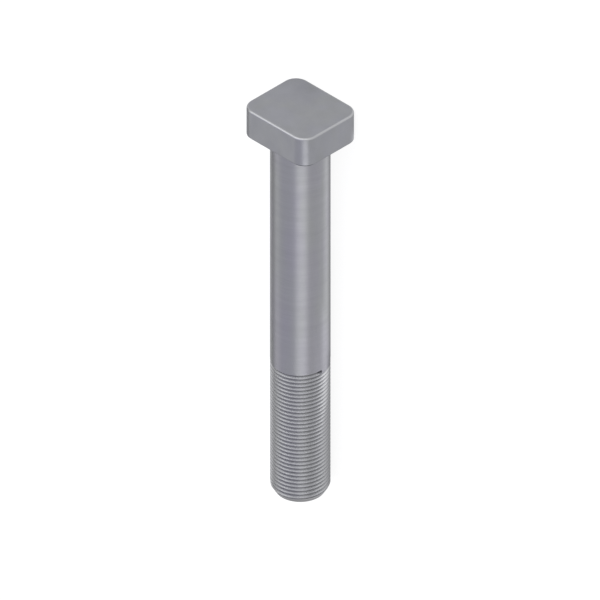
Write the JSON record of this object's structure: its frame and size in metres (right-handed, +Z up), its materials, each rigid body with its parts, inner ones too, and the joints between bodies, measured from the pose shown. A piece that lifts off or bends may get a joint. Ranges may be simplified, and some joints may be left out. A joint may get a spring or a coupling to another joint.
{
  "type": "t-head bolt",
  "caption": "Steel T-head bolt with a rectangular, round-cornered head, a long plain shank and a fine screw thread up to its chamfered end.",
  "frame": {"origin": "on the surface that the bolt lies on, at the middle of its box", "axes": "+X along the bolt towards its head, Y along the head's long side, +Z up; the bolt's own axis rises 1.3 degrees towards the head, because it lies on one long side of its head and the edge of its point"},
  "size_m": [0.1534, 0.03, 0.0262],
  "materials": {
    "steel": "bare steel, satin, with fine turning marks round the shank and thread"
  },
  "bodies": {
    "root": {"t_head_bolt": "steel"}
  },
  "joints": []
}
